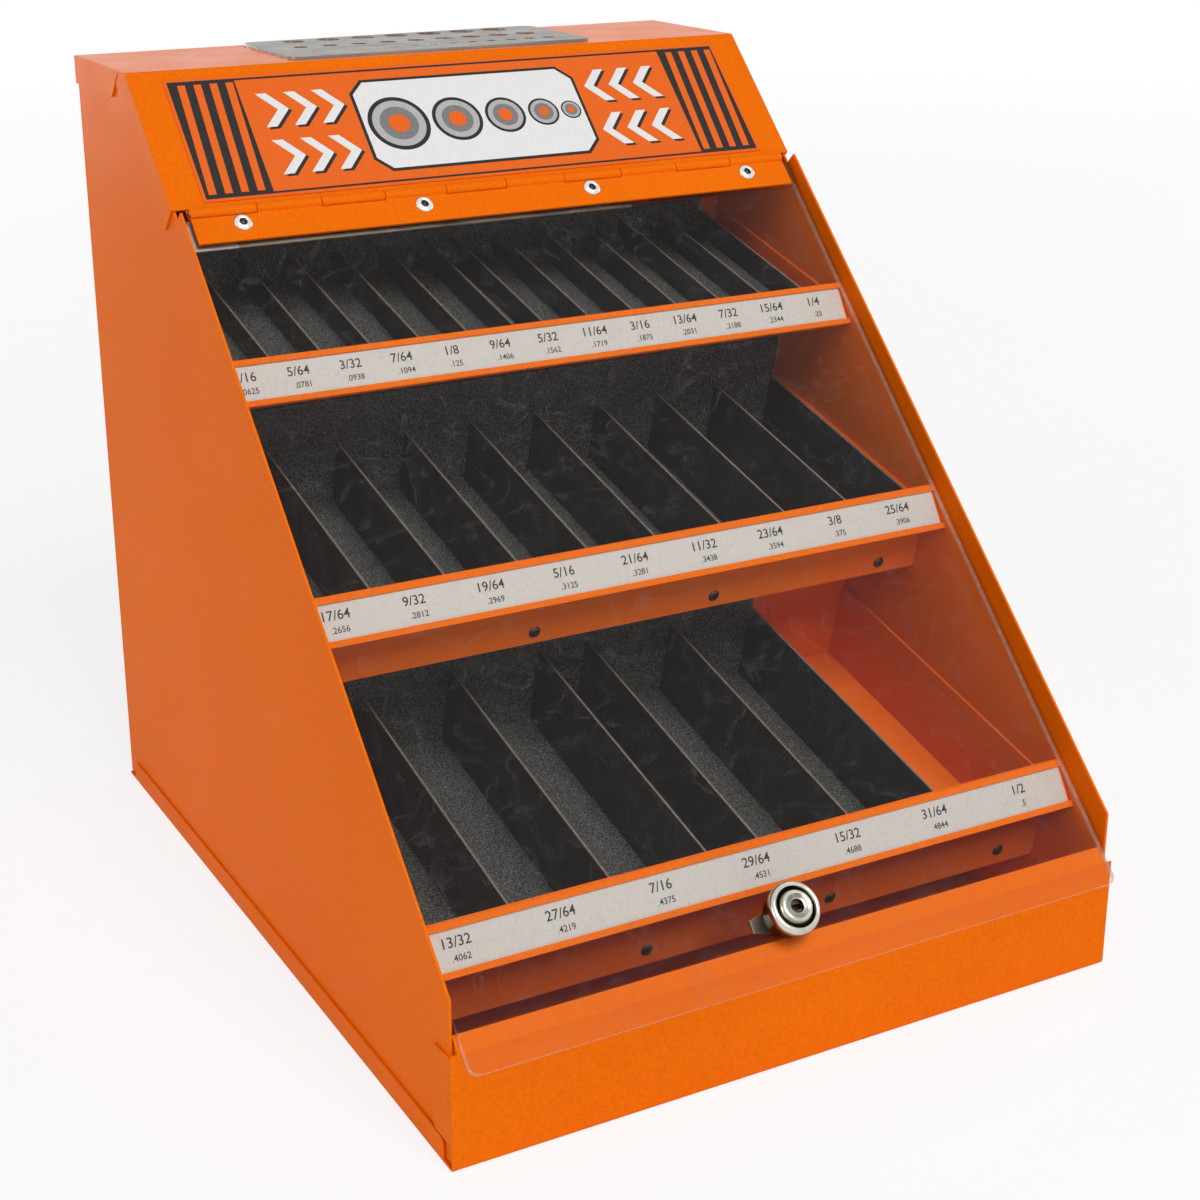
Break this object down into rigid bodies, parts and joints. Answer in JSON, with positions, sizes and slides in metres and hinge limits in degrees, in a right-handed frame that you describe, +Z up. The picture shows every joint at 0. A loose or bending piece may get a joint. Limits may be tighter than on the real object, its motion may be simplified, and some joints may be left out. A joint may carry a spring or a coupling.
{
  "type": "drill bit dispenser",
  "caption": "Bench cabinet with a hinged, locking clear cover on its sloping front, over three tilted trays of divided bins for drill bits, and a size gauge on its roof.",
  "frame": {"origin": "middle of the underside, halfway between the front and back panels", "axes": "+X to the right as seen from the front, +Y to the back, +Z up; the sloping cover faces -Y and +Z"},
  "size_m": [0.3048, 0.3896, 0.3595],
  "materials": {
    "orange_powder_coat": "glossy powder coat with a fine orange-peel texture",
    "sign_face": "printed gloss vinyl with bands and discs, no lettering",
    "gauge_steel": "brushed along its length",
    "pin_steel": "drawn wire",
    "black_liner": "black sheet, dulled by use",
    "black_dividers": "black sheet with worn, lighter upper edges",
    "label_card": "off-white card with plain size numbers",
    "dark_rivets": "dark rivets",
    "clear_acrylic": "clear acrylic with fine scratches",
    "strip_aluminium": "mill finish",
    "rivet_aluminium": "bright heads",
    "lock_chrome": "polished, slightly dulled",
    "zinc_steel": "zinc plated"
  },
  "bodies": {
    "cabinet": {"left_side_panel": "orange_powder_coat", "right_side_panel": "orange_powder_coat", "base_pan": "orange_powder_coat", "back_panel": "orange_powder_coat", "hood": "orange_powder_coat", "sign_plate": "sign_face", "gauge_plate": "gauge_steel", "hinge_fixed_leaf": "orange_powder_coat", "hinge_pin": "pin_steel", "upper_tray": "orange_powder_coat", "upper_liner": "black_liner", "upper_dividers": "black_dividers", "upper_label_strip": "label_card", "middle_tray": "orange_powder_coat", "middle_liner": "black_liner", "middle_dividers": "black_dividers", "middle_label_strip": "label_card", "lower_tray": "orange_powder_coat", "lower_liner": "black_liner", "lower_dividers": "black_dividers", "lower_label_strip": "label_card", "tray_rivets": "dark_rivets"},
    "cover": {"hinge_cover_leaf": "orange_powder_coat", "clear_cover": "clear_acrylic", "backing_strip": "strip_aluminium", "cover_rivets": "rivet_aluminium", "lock_housing": "lock_chrome", "lock_nut": "zinc_steel"},
    "lock_barrel": {"lock_plug": "lock_chrome", "lock_cam": "zinc_steel", "cam_screw": "zinc_steel"}
  },
  "joints": [
    {"name": "cover_hinge", "type": "hinge", "parent": "cabinet", "child": "cover", "pos_m": [0, 0.06086, 0.30591], "axis": [-1, 0, 0], "range_deg": [0, 137]},
    {"name": "lock_turn", "type": "hinge", "parent": "cover", "child": "lock_barrel", "pos_m": [-0.0055, -0.18228, 0.06186], "axis": [0, -0.7084, 0.7058], "range_deg": [0, 90]}
  ]
}
